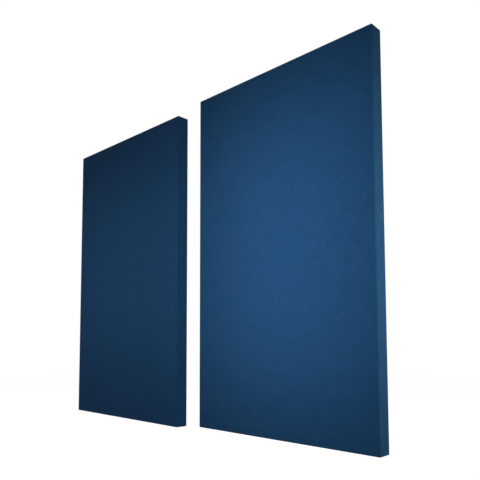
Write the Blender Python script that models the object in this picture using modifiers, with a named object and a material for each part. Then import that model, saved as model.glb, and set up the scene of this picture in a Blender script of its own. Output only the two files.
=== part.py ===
"""A pair of fabric-wrapped acoustic panels, hung on a wall by interlocking Z-clips.

Each panel is a mitred timber frame round a mineral-wool board. Plywood gussets and a cross brace
are let in flush behind the board, a back cloth closes the rear, and a cover is stretched over the
front and turned behind in a hem. Metres, +Z up. The wall is the plane y = 0, the fronts face -Y,
and the origin is on the wall, in the middle of the pair.
"""

import math

import bmesh
import bpy
from mathutils import Matrix, Vector

# The pair, over the covers
PANEL_WIDTH = 0.600
PANEL_HEIGHT = 1.000
PAIR_GAP = 0.105
PAIR_STAGGER = 0.013

# The gap between pieces that touch
CLEARANCE = 0.0003

# Cloth
COVER_THICKNESS = 0.0010
HEM_WIDTH = 0.045
BACK_CLOTH_THICKNESS = 0.0005
BACK_CLOTH_MARGIN = 0.006

# Timber frame and the board inside it
FRAME_DEPTH = 0.038
FRAME_WIDTH = 0.025
FRAME_ROUND = 0.0015
BOARD_THICKNESS = 0.030
BOARD_ROUND = 0.002
ROUND_STEPS = 3

# Plywood gussets and the cross brace, as thick as the space behind the board
GUSSET_MARGIN = 0.009
GUSSET_LEG = 0.090
GUSSET_BLUNT = 0.014
BRACE_WIDTH = 0.040
BRACE_HOUSING = 0.013

# Wood screws, countersunk in the brace and pan-headed in the clips
SCREW_RADIUS = 0.00175
SCREW_LENGTH = 0.022
SCREW_TIP = 0.004
SUNK_HEAD_RADIUS = 0.0035
SUNK_HEAD_HEIGHT = 0.0022
PAN_HEAD_RADIUS = 0.0034
PAN_HEAD_HEIGHT = 0.0022
SCREW_STEPS = 12
HOLE_MOUTH = 0.002

# Z-clips, one turned over to make the other
CLIP_THICKNESS = 0.002
CLIP_LENGTH = 0.060
CLIP_FLANGE = 0.022
CLIP_JOG = 0.003
CLIP_LIP = 0.012
CLIP_PLAY = 0.0008
HOOK_GAP = 0.0003
HOOK_SEAT = 0.0006
CLIP_INSET = 0.150
CLIP_SCREW_EDGE = 0.010
WALL_SCREW_HOLE_RADIUS = 0.00225
CLIP_EDGE = 0.0004

# Rubber bumpers that keep the foot of a panel as far from the wall as the clips do
BUMPER_RADIUS = 0.0085
BUMPER_TOP_RADIUS = 0.0065
BUMPER_ROUND = 0.0015
BUMPER_INSET = 0.0225
BUMPER_STEPS = 16

# From the wall outwards: the hooked clips, the hem, the back cloth, the frame and the front
CLIP_STACK = 2 * (CLIP_THICKNESS + CLIP_PLAY) + HOOK_GAP
HEM_BACK = -(CLIP_STACK + CLEARANCE)
CLOTH_BACK = HEM_BACK - COVER_THICKNESS - CLEARANCE
FRAME_BACK = CLOTH_BACK - BACK_CLOTH_THICKNESS - CLEARANCE
FRAME_FRONT = FRAME_BACK - FRAME_DEPTH
COVER_FRONT = FRAME_FRONT - CLEARANCE - COVER_THICKNESS

# Half sizes, seen from the front, of the frame and of the window in it
COVER_WALL = COVER_THICKNESS + CLEARANCE
FRAME_HALF_WIDTH = PANEL_WIDTH / 2 - COVER_WALL
FRAME_HALF_HEIGHT = PANEL_HEIGHT / 2 - COVER_WALL
WINDOW_HALF_WIDTH = FRAME_HALF_WIDTH - FRAME_WIDTH
WINDOW_HALF_HEIGHT = FRAME_HALF_HEIGHT - FRAME_WIDTH
BACKER_THICKNESS = FRAME_DEPTH - BOARD_THICKNESS - CLEARANCE

# Heights of the clips on a panel. The flange is centred on the top rail
CLIP_OFFSET = CLIP_PLAY + CLIP_THICKNESS + HOOK_GAP
PANEL_CLIP_TOP = FRAME_HALF_HEIGHT - FRAME_WIDTH / 2 + CLIP_FLANGE / 2
WALL_CLIP_FOOT = PANEL_CLIP_TOP - 2 * (CLIP_FLANGE + CLIP_JOG) - CLIP_LIP - HOOK_SEAT
CLIP_CENTRE = PANEL_WIDTH / 2 - CLIP_INSET
CLIP_SCREW_REACH = CLIP_LENGTH / 2 - CLIP_SCREW_EDGE

SIDES = (("left", -1), ("right", 1))
ENDS = (("top", 1), ("bottom", -1))

parts = None
cutters = None
finishes = {}


def start():
    """Clears the scene and makes the two collections."""
    global parts, cutters
    for old in list(bpy.data.objects):
        bpy.data.objects.remove(old, do_unlink=True)
    parts = bpy.data.collections.new("acoustic_panel_pair")
    cutters = bpy.data.collections.new("cutters")
    for collection in (parts, cutters):
        bpy.context.scene.collection.children.link(collection)


def linear(channel):
    """One sRGB channel, from 0 to 1, as linear light."""
    return channel / 12.92 if channel <= 0.04045 else ((channel + 0.055) / 1.055) ** 2.4


def finish(name, colour, roughness, metallic=0.0):
    """A Principled material with an sRGB hex colour."""
    made = bpy.data.materials.new(name)
    made.use_nodes = True
    shader = made.node_tree.nodes["Principled BSDF"]
    channels = [linear(int(colour[i : i + 2], 16) / 255) for i in (0, 2, 4)]
    shader.inputs["Base Color"].default_value = (*channels, 1.0)
    shader.inputs["Roughness"].default_value = roughness
    shader.inputs["Metallic"].default_value = metallic
    made.diffuse_color = (*channels, 1.0)
    finishes[name] = made


def make_finishes():
    finish("blue_acoustic_cloth", "1C4468", 0.9)
    finish("black_scrim", "1A1B1D", 0.95)
    finish("mineral_wool", "A89A5C", 0.95)
    finish("planed_pine", "D2B07A", 0.6)
    finish("birch_plywood", "C9A878", 0.6)
    finish("zinc_plated_steel", "B4B8BC", 0.35, 1.0)
    finish("mill_aluminium", "B9BCC0", 0.4, 1.0)
    finish("black_rubber", "17181A", 0.8)


def add_mesh(name, mesh, material, parent=None):
    """A visible piece, placed under its parent."""
    obj = bpy.data.objects.new(name, mesh)
    mesh.materials.clear()
    mesh.materials.append(finishes[material])
    obj.parent = parent
    parts.objects.link(obj)
    return obj


def add_piece(name, bm, material, parent=None):
    """A visible piece from a bmesh, which is used up."""
    return add_mesh(name, mesh_of(name, bm), material, parent)


def mesh_of(name, bm):
    bmesh.ops.recalc_face_normals(bm, faces=bm.faces)
    mesh = bpy.data.meshes.new(name)
    bm.to_mesh(mesh)
    bm.free()
    return mesh


def add_cutter(name, mesh, parent):
    """A hidden solid for Booleans."""
    obj = bpy.data.objects.new(name, mesh)
    obj.parent = parent
    obj.hide_render = True
    obj.display_type = "WIRE"
    cutters.objects.link(obj)
    return obj


def cut_with(obj, *tools):
    for tool in tools:
        cut = obj.modifiers.new(tool.name, "BOOLEAN")
        cut.operation = "DIFFERENCE"
        cut.solver = "EXACT"
        cut.object = tool


def box(low, high):
    """A bmesh box between two corners."""
    low, high = Vector(low), Vector(high)
    place = Matrix.Translation((low + high) / 2) @ Matrix.Diagonal((*(high - low), 1.0))
    bm = bmesh.new()
    bmesh.ops.create_cube(bm, size=1.0, matrix=place)
    return bm


def round_edges(bm, radius, steps=1):
    """Rounds every edge. One step makes a chamfer."""
    bmesh.ops.bevel(
        bm, geom=list(bm.edges), offset=radius, segments=steps, profile=0.5, affect="EDGES"
    )


def slice_off(bm, point, outward):
    """Cuts away what lies beyond a plane and closes the cut."""
    found = bmesh.ops.bisect_plane(
        bm,
        geom=[*bm.verts, *bm.edges, *bm.faces],
        dist=1e-7,
        plane_co=point,
        plane_no=outward,
        clear_outer=True,
    )
    rim = [item for item in found["geom_cut"] if isinstance(item, bmesh.types.BMEdge)]
    bmesh.ops.holes_fill(bm, edges=rim, sides=0)


def turned(name, profile, steps):
    """A turned mesh whose top faces the wall. Its profile of (radius, height) runs top to bottom."""
    bm = bmesh.new()
    points = [bm.verts.new((radius, 0.0, height)) for radius, height in profile]
    for upper, lower in zip(points, points[1:]):
        bm.edges.new((upper, lower))
    mesh = bpy.data.meshes.new(name)
    bm.to_mesh(mesh)
    bm.free()
    pattern = bpy.data.objects.new(name, mesh)
    bpy.context.scene.collection.objects.link(pattern)
    screw = pattern.modifiers.new("turn", "SCREW")
    screw.steps = steps
    screw.render_steps = steps
    screw.use_merge_vertices = True
    screw.merge_threshold = 0.00001
    bpy.context.view_layer.update()
    graph = bpy.context.evaluated_depsgraph_get()
    made = bpy.data.meshes.new_from_object(pattern.evaluated_get(graph))
    made.transform(Matrix.Rotation(math.radians(-90), 4, "X"))
    bpy.data.objects.remove(pattern, do_unlink=True)
    return made


def drilled(name, hole, places, parent):
    """A cutter that holds a copy of one hole at each place."""
    bm = bmesh.new()
    for place in places:
        before = len(bm.verts)
        bm.from_mesh(hole)
        bm.verts.ensure_lookup_table()
        bmesh.ops.translate(bm, vec=place, verts=bm.verts[before:])
    return add_cutter(name, mesh_of(name, bm), parent)


def shade_round(mesh, angle=40):
    mesh.shade_smooth()
    mesh.set_sharp_from_angle(angle=math.radians(angle))


def sunk_profile(grow=0.0, above=0.0):
    """A countersunk screw, flush at height 0. A hole for it grows by the clearance."""
    head = SUNK_HEAD_RADIUS + grow
    shank = SCREW_RADIUS + grow
    profile = [(0.0, above), (head, above)]
    if above:
        profile.append((head, 0.0))
    profile += [
        (shank, -SUNK_HEAD_HEIGHT - grow),
        (shank, -SCREW_LENGTH + SCREW_TIP),
        (0.0, -SCREW_LENGTH - grow),
    ]
    return profile


def pan_profile():
    """A pan-headed screw, with height 0 under its head."""
    return [
        (0.0, PAN_HEAD_HEIGHT),
        (PAN_HEAD_RADIUS * 0.6, PAN_HEAD_HEIGHT),
        (PAN_HEAD_RADIUS, PAN_HEAD_HEIGHT * 0.5),
        (PAN_HEAD_RADIUS, 0.0),
        (SCREW_RADIUS, 0.0),
        (SCREW_RADIUS, -SCREW_LENGTH + SCREW_TIP),
        (0.0, -SCREW_LENGTH),
    ]


def hole_profile(radius, above, below):
    return [(0.0, above), (radius, above), (radius, -below), (0.0, -below)]


def frame_member(name, inner, mitres, parent):
    """One side of the frame, sliced out of the rounded block that the whole frame is cut from."""
    low = (-FRAME_HALF_WIDTH, FRAME_FRONT, -FRAME_HALF_HEIGHT)
    high = (FRAME_HALF_WIDTH, FRAME_BACK, FRAME_HALF_HEIGHT)
    bm = box(low, high)
    round_edges(bm, FRAME_ROUND, ROUND_STEPS)
    slice_off(bm, *inner)
    for corner, outward in mitres:
        outward = Vector(outward).normalized()
        slice_off(bm, Vector(corner) - outward * CLEARANCE / 2, outward)
    return add_piece(name, bm, "planed_pine", parent)


def frame_rail(name, end, parent):
    """The top rail for end 1, the bottom rail for end -1."""
    inner = ((0, 0, end * WINDOW_HALF_HEIGHT), (0, 0, -end))
    mitres = [
        ((side * FRAME_HALF_WIDTH, 0, end * FRAME_HALF_HEIGHT), (side, 0, -end))
        for _, side in SIDES
    ]
    return frame_member(name, inner, mitres, parent)


def frame_stile(name, side, parent):
    """The left stile for side -1, the right stile for side 1."""
    inner = ((side * WINDOW_HALF_WIDTH, 0, 0), (-side, 0, 0))
    mitres = [
        ((side * FRAME_HALF_WIDTH, 0, end * FRAME_HALF_HEIGHT), (-side, 0, end))
        for _, end in ENDS
    ]
    return frame_member(name, inner, mitres, parent)


def gusset_shape(side, end, grow=0.0):
    """A corner plate with blunt tips, or with some growth the rebate that it lies in."""
    corner_x = FRAME_HALF_WIDTH - GUSSET_MARGIN
    corner_z = FRAME_HALF_HEIGHT - GUSSET_MARGIN
    near = (side * (corner_x + grow), end * (corner_z + grow))
    far = (side * (corner_x - GUSSET_LEG - grow), end * (corner_z - GUSSET_LEG - grow))
    low = (min(near[0], far[0]), FRAME_BACK - BACKER_THICKNESS - grow, min(near[1], far[1]))
    high = (max(near[0], far[0]), FRAME_BACK + grow, max(near[1], far[1]))
    bm = box(low, high)
    outward = Vector((-side, 0, -end)).normalized()
    tip = Vector((side * (corner_x - GUSSET_BLUNT), 0, end * (corner_z - GUSSET_LEG)))
    slice_off(bm, tip + outward * grow, outward)
    return bm


def brace_screw_places():
    """The screws' names and places, in the middle of each housing."""
    reach = WINDOW_HALF_WIDTH + BRACE_HOUSING / 2
    return [(f"{side_name}_brace_screw", (side * reach, FRAME_BACK, 0)) for side_name, side in SIDES]


def clip_screw_places():
    """The screws' names, and where their heads bear on the wall side of the panel clips."""
    seat = -CLIP_STACK + CLIP_THICKNESS + CLEARANCE
    height = PANEL_CLIP_TOP - CLIP_FLANGE / 2
    places = []
    for side_name, side in SIDES:
        for number, step in ((1, -CLIP_SCREW_REACH), (2, CLIP_SCREW_REACH)):
            place = (side * CLIP_CENTRE + step, seat, height)
            places.append((f"{side_name}_clip_screw_{number}", place))
    return places


def add_screws(panel, mesh, places, parent):
    shade_round(mesh)
    for name, place in places:
        add_mesh(f"{panel}_{name}", mesh, "zinc_plated_steel", parent).location = place


def brace_shape(grow=0.0):
    """The cross brace, or with some growth the housings in the stiles that take its ends."""
    reach = WINDOW_HALF_WIDTH + BRACE_HOUSING
    low = (-reach - grow, FRAME_BACK - BACKER_THICKNESS - grow, -BRACE_WIDTH / 2 - grow)
    high = (reach + grow, FRAME_BACK + grow, BRACE_WIDTH / 2 + grow)
    return box(low, high)


def build_frame(panel, parent, clip_holes):
    """The four mitred sides, the glued gussets and the screwed brace."""
    hole = turned("brace_screw_hole", sunk_profile(CLEARANCE, HOLE_MOUTH), SCREW_STEPS)
    places = [place for _, place in brace_screw_places()]
    holes = drilled(f"{panel}_brace_screw_holes", hole, places, parent)
    housing_mesh = mesh_of("brace_housing", brace_shape(CLEARANCE))
    housing = add_cutter(f"{panel}_brace_housing", housing_mesh, parent)
    rebates = {}
    for end_name, end in ENDS:
        for side_name, side in SIDES:
            mesh = mesh_of("gusset_rebate", gusset_shape(side, end, CLEARANCE))
            rebates[side, end] = add_cutter(f"{panel}_{end_name}_{side_name}_rebate", mesh, parent)
            name = f"{panel}_{end_name}_{side_name}_gusset"
            add_piece(name, gusset_shape(side, end), "birch_plywood", parent)

    for end_name, end in ENDS:
        rail = frame_rail(f"{panel}_{end_name}_rail", end, parent)
        cut_with(rail, rebates[-1, end], rebates[1, end])
        if end > 0:
            cut_with(rail, clip_holes)
    for side_name, side in SIDES:
        stile = frame_stile(f"{panel}_{side_name}_stile", side, parent)
        cut_with(stile, rebates[side, -1], rebates[side, 1], housing, holes)
    brace = add_piece(f"{panel}_cross_brace", brace_shape(), "birch_plywood", parent)
    cut_with(brace, holes)
    screw = turned("brace_screw", sunk_profile(), SCREW_STEPS)
    add_screws(panel, screw, brace_screw_places(), parent)


def clip_hole_profile():
    return hole_profile(SCREW_RADIUS + CLEARANCE, CLIP_THICKNESS, SCREW_LENGTH + CLEARANCE)


def build_board(panel, parent):
    """The mineral-wool board, flush with the front of the frame."""
    half_width = WINDOW_HALF_WIDTH - CLEARANCE
    half_height = WINDOW_HALF_HEIGHT - CLEARANCE
    low = (-half_width, FRAME_FRONT, -half_height)
    high = (half_width, FRAME_FRONT + BOARD_THICKNESS, half_height)
    bm = box(low, high)
    round_edges(bm, BOARD_ROUND)
    add_piece(f"{panel}_core_board", bm, "mineral_wool", parent)


def build_cloth(panel, parent, clip_holes):
    """The cover, an open-backed skin with a hem, and the back cloth that lies under the hem."""
    low = (-PANEL_WIDTH / 2, COVER_FRONT, -PANEL_HEIGHT / 2)
    high = (PANEL_WIDTH / 2, HEM_BACK, PANEL_HEIGHT / 2)
    radius = FRAME_ROUND + COVER_WALL
    bm = box(low, high)
    round_edges(bm, radius, ROUND_STEPS)
    back = max(bm.faces, key=lambda face: (face.calc_center_median().y, face.calc_area()))
    bmesh.ops.inset_region(bm, faces=[back], thickness=HEM_WIDTH - radius, use_even_offset=True)
    bmesh.ops.delete(bm, geom=[back], context="FACES")
    cover = add_piece(f"{panel}_fabric_cover", bm, "blue_acoustic_cloth", parent)
    skin = cover.modifiers.new("cloth", "SOLIDIFY")
    skin.thickness = COVER_THICKNESS
    skin.offset = -1.0
    skin.use_even_offset = True
    cut_with(cover, clip_holes)

    half_width = FRAME_HALF_WIDTH - BACK_CLOTH_MARGIN
    half_height = FRAME_HALF_HEIGHT - BACK_CLOTH_MARGIN
    low = (-half_width, CLOTH_BACK - BACK_CLOTH_THICKNESS, -half_height)
    high = (half_width, CLOTH_BACK, half_height)
    cloth = add_piece(f"{panel}_back_cloth", box(low, high), "black_scrim", parent)
    cut_with(cloth, clip_holes)


def clip_mesh():
    """A bent strip: a flange on y = 0, a sloping jog towards -Y, and a lip that points up."""
    middle = -CLIP_THICKNESS / 2
    line = [
        (middle, 0.0),
        (middle, CLIP_FLANGE),
        (middle - CLIP_OFFSET, CLIP_FLANGE + CLIP_JOG),
        (middle - CLIP_OFFSET, CLIP_FLANGE + CLIP_JOG + CLIP_LIP),
    ]
    bm = bmesh.new()
    points = [bm.verts.new((-CLIP_LENGTH / 2, y, z)) for y, z in line]
    edges = [bm.edges.new(pair) for pair in zip(points, points[1:])]
    swept = bmesh.ops.extrude_edge_only(bm, edges=edges)["geom"]
    far = [item for item in swept if isinstance(item, bmesh.types.BMVert)]
    bmesh.ops.translate(bm, verts=far, vec=(CLIP_LENGTH, 0, 0))
    return mesh_of("z_clip", bm)


def add_clip(name, place, turn, parent):
    clip = add_mesh(name, clip_mesh(), "mill_aluminium", parent)
    clip.location = place
    clip.rotation_euler = (math.radians(turn), 0, 0)
    strip = clip.modifiers.new("strip", "SOLIDIFY")
    strip.thickness = CLIP_THICKNESS
    strip.offset = 0.0
    strip.use_even_offset = True
    edge = clip.modifiers.new("edge", "BEVEL")
    edge.width = CLIP_EDGE
    edge.segments = 1
    edge.limit_method = "ANGLE"
    edge.angle_limit = math.radians(60)
    return clip


def build_panel_clips(panel, parent, clip_holes):
    """The clips on the top rail, lip down, and their screws."""
    for side_name, side in SIDES:
        place = (side * CLIP_CENTRE, -CLIP_STACK, PANEL_CLIP_TOP)
        clip = add_clip(f"{panel}_{side_name}_clip", place, 180, parent)
        cut_with(clip, clip_holes)
    screw = turned("clip_screw", pan_profile(), SCREW_STEPS)
    add_screws(panel, screw, clip_screw_places(), parent)


def build_wall_clips(panel, parent):
    """The clips on the wall, lip up, with open holes for the wall's own screws."""
    height = WALL_CLIP_FOOT + CLIP_FLANGE / 2
    drill = hole_profile(WALL_SCREW_HOLE_RADIUS, CLIP_THICKNESS, 2 * CLIP_THICKNESS)
    hole = turned("wall_screw_hole", drill, SCREW_STEPS)
    for side_name, side in SIDES:
        centre = side * CLIP_CENTRE
        name = f"{panel}_{side_name}_wall_clip"
        clip = add_clip(name, (centre, 0, WALL_CLIP_FOOT), 0, parent)
        places = [(centre + step, 0, height) for step in (-CLIP_SCREW_REACH, CLIP_SCREW_REACH)]
        cut_with(clip, drilled(f"{name}_holes", hole, places, parent))


def build_bumpers(panel, parent):
    """Turned rubber feet on the lower corners of the hem, which end at the wall."""
    height = -HEM_BACK - CLEARANCE
    profile = [
        (0.0, height),
        (BUMPER_TOP_RADIUS - BUMPER_ROUND, height),
        (BUMPER_TOP_RADIUS - BUMPER_ROUND * 0.3, height - BUMPER_ROUND * 0.3),
        (BUMPER_TOP_RADIUS, height - BUMPER_ROUND),
        (BUMPER_RADIUS, 0.0),
        (0.0, 0.0),
    ]
    dome = turned("bumper", profile, BUMPER_STEPS)
    shade_round(dome)
    for side_name, side in SIDES:
        x = side * (PANEL_WIDTH / 2 - BUMPER_INSET)
        z = -PANEL_HEIGHT / 2 + BUMPER_INSET
        bumper = add_mesh(f"{panel}_{side_name}_bumper", dome, "black_rubber", parent)
        bumper.location = (x, HEM_BACK + CLEARANCE, z)


def build_panel(panel, place):
    """One panel on its own empty, which slides up with it, and the wall clips that it hangs on."""
    body = bpy.data.objects.new(panel, None)
    wall = bpy.data.objects.new(f"{panel}_wall", None)
    for empty in (body, wall):
        empty.location = place
        parts.objects.link(empty)
    hole = turned("clip_screw_hole", clip_hole_profile(), SCREW_STEPS)
    places = [spot for _, spot in clip_screw_places()]
    clip_holes = drilled(f"{panel}_clip_screw_holes", hole, places, body)
    build_frame(panel, body, clip_holes)
    build_board(panel, body)
    build_cloth(panel, body, clip_holes)
    build_panel_clips(panel, body, clip_holes)
    build_bumpers(panel, body)
    build_wall_clips(panel, wall)


start()
make_finishes()
for side_name, side in SIDES:
    centre = side * (PAIR_GAP + PANEL_WIDTH) / 2
    build_panel(f"{side_name}_panel", (centre, 0, side * PAIR_STAGGER / 2))
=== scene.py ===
# %% [markdown]
# A pair of fabric-wrapped acoustic panels.
# Each panel is a timber frame round a mineral-wool board, with a blue cloth pulled tight over the
# front and stapled behind. It hangs on aluminium Z-clips, so there is nothing to see from the front
# but cloth. That makes this a lesson about one plain material done well, about soft edges, and
# about a tidy back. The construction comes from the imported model. This script dresses it.

import contextlib
import math
import random

import bmesh
import bpy
from mathutils import Matrix, Vector, noise


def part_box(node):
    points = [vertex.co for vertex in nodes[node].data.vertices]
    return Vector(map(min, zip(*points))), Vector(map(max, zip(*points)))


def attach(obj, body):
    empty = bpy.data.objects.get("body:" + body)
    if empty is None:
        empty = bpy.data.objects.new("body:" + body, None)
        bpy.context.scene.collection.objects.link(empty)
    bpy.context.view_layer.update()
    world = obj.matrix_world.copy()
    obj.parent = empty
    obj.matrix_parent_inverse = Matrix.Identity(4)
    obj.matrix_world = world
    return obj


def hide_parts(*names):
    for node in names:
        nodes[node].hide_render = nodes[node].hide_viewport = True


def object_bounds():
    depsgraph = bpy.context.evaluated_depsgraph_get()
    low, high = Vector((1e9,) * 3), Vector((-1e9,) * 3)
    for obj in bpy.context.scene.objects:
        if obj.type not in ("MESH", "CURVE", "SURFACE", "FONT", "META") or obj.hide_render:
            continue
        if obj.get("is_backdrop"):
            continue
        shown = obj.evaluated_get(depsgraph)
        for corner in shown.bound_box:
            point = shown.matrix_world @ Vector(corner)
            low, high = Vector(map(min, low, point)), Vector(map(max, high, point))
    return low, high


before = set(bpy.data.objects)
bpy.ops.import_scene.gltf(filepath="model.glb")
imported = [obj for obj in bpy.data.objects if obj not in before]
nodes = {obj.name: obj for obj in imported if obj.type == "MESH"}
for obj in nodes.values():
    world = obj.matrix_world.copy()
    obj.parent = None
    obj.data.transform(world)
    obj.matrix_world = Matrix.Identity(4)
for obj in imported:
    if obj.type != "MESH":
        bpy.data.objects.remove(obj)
cad_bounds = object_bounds()
PANELS = ("left_panel", "right_panel")
MM = 0.001
print("nodes loaded:", len(nodes))

# %% [markdown]
# The photograph was taken from the right of the pair and a little below their middle. A camera can
# be matched to a picture by trial, or worked out where the picture shows a box: the edges that run
# along the wall and out from it meet at vanishing points, and these fix the lens and the turn.
# The picture looks up. A tilted camera would make the upright sides lean together, so most of
# that is a shift of the lens, and only four degrees of it are tilt.

# %% Camera
SENSOR = 36.0
LENS = 40.07
SHIFT_UP = 0.125
CAMERA_PLACE = Vector((1.2622, -1.1271, -0.2284))
CAMERA_TURN = [math.radians(angle) for angle in (94.066, 0.14, 43.917)]

camera_data = bpy.data.cameras.new("camera")
camera_data.sensor_width = SENSOR
camera_data.lens = LENS
camera_data.shift_y = SHIFT_UP
camera_data.clip_start = 10 * MM
camera = bpy.data.objects.new("camera", camera_data)
camera.location = CAMERA_PLACE
camera.rotation_euler = CAMERA_TURN
bpy.context.scene.collection.objects.link(camera)
bpy.context.scene.camera = camera
print("camera lens in mm:", round(camera_data.lens, 2))

# %% [markdown]
# Every colour is written as a designer would write it, as an sRGB hex value, and one function turns
# it into the linear light that Blender works in. A second small function adds a shader node with
# its settings and its links in one line, so that a material reads like a recipe.

# %% Colours and nodes
def colour(hex_value):
    """An sRGB hex colour as linear RGBA."""
    channels = []
    for i in (0, 2, 4):
        c = int(hex_value[i : i + 2], 16) / 255
        channels.append(c / 12.92 if c <= 0.04045 else ((c + 0.055) / 1.055) ** 2.4)
    return (*channels, 1.0)


def add_node(material, kind, settings=None, **links):
    """Adds a node. Settings go on it or its sockets. Links name a socket and what feeds it: an
    output, or a node, of which the first output is meant."""
    node = material.node_tree.nodes.new("ShaderNode" + kind)
    for name, value in (settings or {}).items():
        if hasattr(node, name):
            setattr(node, name, value)
        else:
            node.inputs[int(name[1:]) if name.startswith("#") else name].default_value = value
    for name, source in links.items():
        socket = node.inputs[int(name[1:]) if name.startswith("_") else name.replace("_", " ")]
        output = source.outputs[0] if hasattr(source, "outputs") else source
        material.node_tree.links.new(output, socket)
    return node


def new_material(name, **settings):
    """A material with one Principled shader, whose plain values are set on its own sockets."""
    material = bpy.data.materials.new(name)
    material.use_nodes = True
    material.node_tree.nodes.clear()
    shader = add_node(material, "BsdfPrincipled")
    for key, value in settings.items():
        shader.inputs[key.replace("_", " ")].default_value = value
    add_node(material, "OutputMaterial", Surface=shader.outputs["BSDF"])
    return material, shader


print("the hex grey 808080 as linear light:", round(colour("808080")[0], 3))

# %% [markdown]
# A studio picture on white needs a background that doesn't light the object. More lamps on a grey
# wall would make it white too, but they would wash out the cloth. Light Path tells what kind of ray
# asks for the colour: one from the camera, a mirror or glass gets full white, and light on its
# way gets only a weak, even fill.

# %% World
FILL = 0.08


def seen_directly(material):
    """A node that is 1 for rays from the camera, a mirror or glass, and 0 for light on its way."""
    path = add_node(material, "LightPath")
    first = add_node(material, "Math", {"operation": "MAXIMUM"}, _0=path.outputs["Is Camera Ray"],
                     _1=path.outputs["Is Glossy Ray"])
    return add_node(material, "Math", {"operation": "MAXIMUM"}, _0=first,
                    _1=path.outputs["Is Transmission Ray"])


world = bpy.data.worlds.new("studio")
bpy.context.scene.world = world
world.use_nodes = True
world.node_tree.nodes.clear()
strength = add_node(world, "MapRange", {"To Min": FILL, "To Max": 1.0}, Value=seen_directly(world))
sky = add_node(world, "Background", {"Color": colour("FFFFFF")}, Strength=strength)
add_node(world, "OutputWorld", Surface=sky)
bpy.context.scene.view_settings.view_transform = "Standard"
print("fill light from all round:", FILL)

# %% [markdown]
# The panels hang, so the floor lies a little below them and only has to be a quiet white. A plain
# white floor would come out grey, because the lamps are weak. Its material therefore glows, for
# the same rays that see the world as white, and keeps a tenth of its matt white for shadows.

# %% Floor
FLOOR_DROP = 0.30
FLOOR_SIZE = 14.0
FLOOR_GLOW = 1.09
GLOW_SHARE = 0.90

bpy.ops.object.select_all(action="DESELECT")
bpy.ops.mesh.primitive_plane_add(size=FLOOR_SIZE, location=(0, 0, cad_bounds[0][2] - FLOOR_DROP))
floor = bpy.context.object
floor.name = "floor"
floor_white = bpy.data.materials.new("studio_white")
floor_white.use_nodes = True
floor_white.node_tree.nodes.clear()
lit = add_node(floor_white, "Math", {"operation": "MULTIPLY", "#1": GLOW_SHARE},
               _0=seen_directly(floor_white))
matt = add_node(floor_white, "BsdfDiffuse", {"Color": colour("F4F4F4")})
glow = add_node(floor_white, "Emission", {"Color": colour("FFFFFF"), "Strength": FLOOR_GLOW})
mixed = add_node(floor_white, "MixShader", _0=lit, _1=matt, _2=glow)
add_node(floor_white, "OutputMaterial", Surface=mixed)
floor.data.materials.append(floor_white)
floor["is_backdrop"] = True
print("floor height in mm:", round(floor.location.z / MM))

# %% [markdown]
# One large lamp would be simple, but it lights cloth evenly, and here the cloth is lighter in the
# middle of a panel than at its corners. So a soft lamp stands close before each panel, and its
# light falls off towards the corners. An upright strip at each end of the pair lights the narrow
# side faces, and a large lamp behind lets the back be read.

# %% Lamps
def add_lamp(name, place, target, width, height, power, tint="FFFFFF"):
    """A soft rectangular lamp that looks at a target. Its power is in watts."""
    data = bpy.data.lights.new(name, "AREA")
    data.shape = "RECTANGLE"
    data.size, data.size_y = width, height
    data.energy = power
    data.color = colour(tint)[:3]
    lamp = bpy.data.objects.new(name, data)
    lamp.location = place
    lamp.rotation_euler = (Vector(target) - Vector(place)).to_track_quat("-Z", "Y").to_euler()
    lamp.visible_camera = False
    bpy.context.scene.collection.objects.link(lamp)


add_lamp("key_right", (0.40, -0.36, 0.01), (0.40, 0.0, 0.01), 0.56, 0.75, 2.30)
add_lamp("key_left", (-0.40, -0.36, 0.01), (-0.40, 0.0, 0.01), 0.70, 0.66, 0.80)
add_lamp("strip_right", (1.05, -0.02, -0.03), (0.65, -0.03, -0.03), 0.10, 0.60, 2.6, "FFF5E0")
add_lamp("strip_left", (-1.15, -0.02, 0.0), (-0.65, -0.03, 0.0), 0.10, 0.75, 2.7)
add_lamp("back_fill", (-0.8, 2.4, 1.6), (0.0, 0.0, 0.0), 5.0, 4.4, 85.0)
print("lamps:", sorted(lamp.name for lamp in bpy.data.lights))

# %% [markdown]
# The cloth is a plain-woven polyester such as studios buy by the roll, in a deep blue that is
# mixed in the yarn: some threads are a little lighter, some a little darker. From two metres it
# reads as one colour with a faint, soft mottle. A picture of cloth could be laid on it, but nodes
# stay sharp from close by and are set in millimetres. Like all finishes here it is noise, drawn
# out to the size of the real grain. It drives colour and relief, and on other pieces the
# roughness, because on a real surface these change together.

# %% What the weave is made of
# A real thread is about half as wide. It is too fine to show, so the weave is drawn coarser.
THREAD = 0.8 * MM
THREAD_HEIGHT = 0.15 * MM
SLUB_WIDTH = 1.2 * MM
SLUB_LENGTH = 14 * MM
SLUB_RELIEF = 0.6
MOTTLE = 32 * MM
MOTTLE_SHARE = 0.30
WEAVE_SHARE = 0.10
YARN_RANGE = 0.60


def streaks(material, where, size, **settings):
    """Noise that is drawn out to a size along each axis."""
    stretch = add_node(material, "Mapping", {"Scale": [1 / length for length in size]},
                       Vector=where)
    return add_node(material, "TexNoise", {"Scale": 1.0, **settings}, Vector=stretch)


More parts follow.
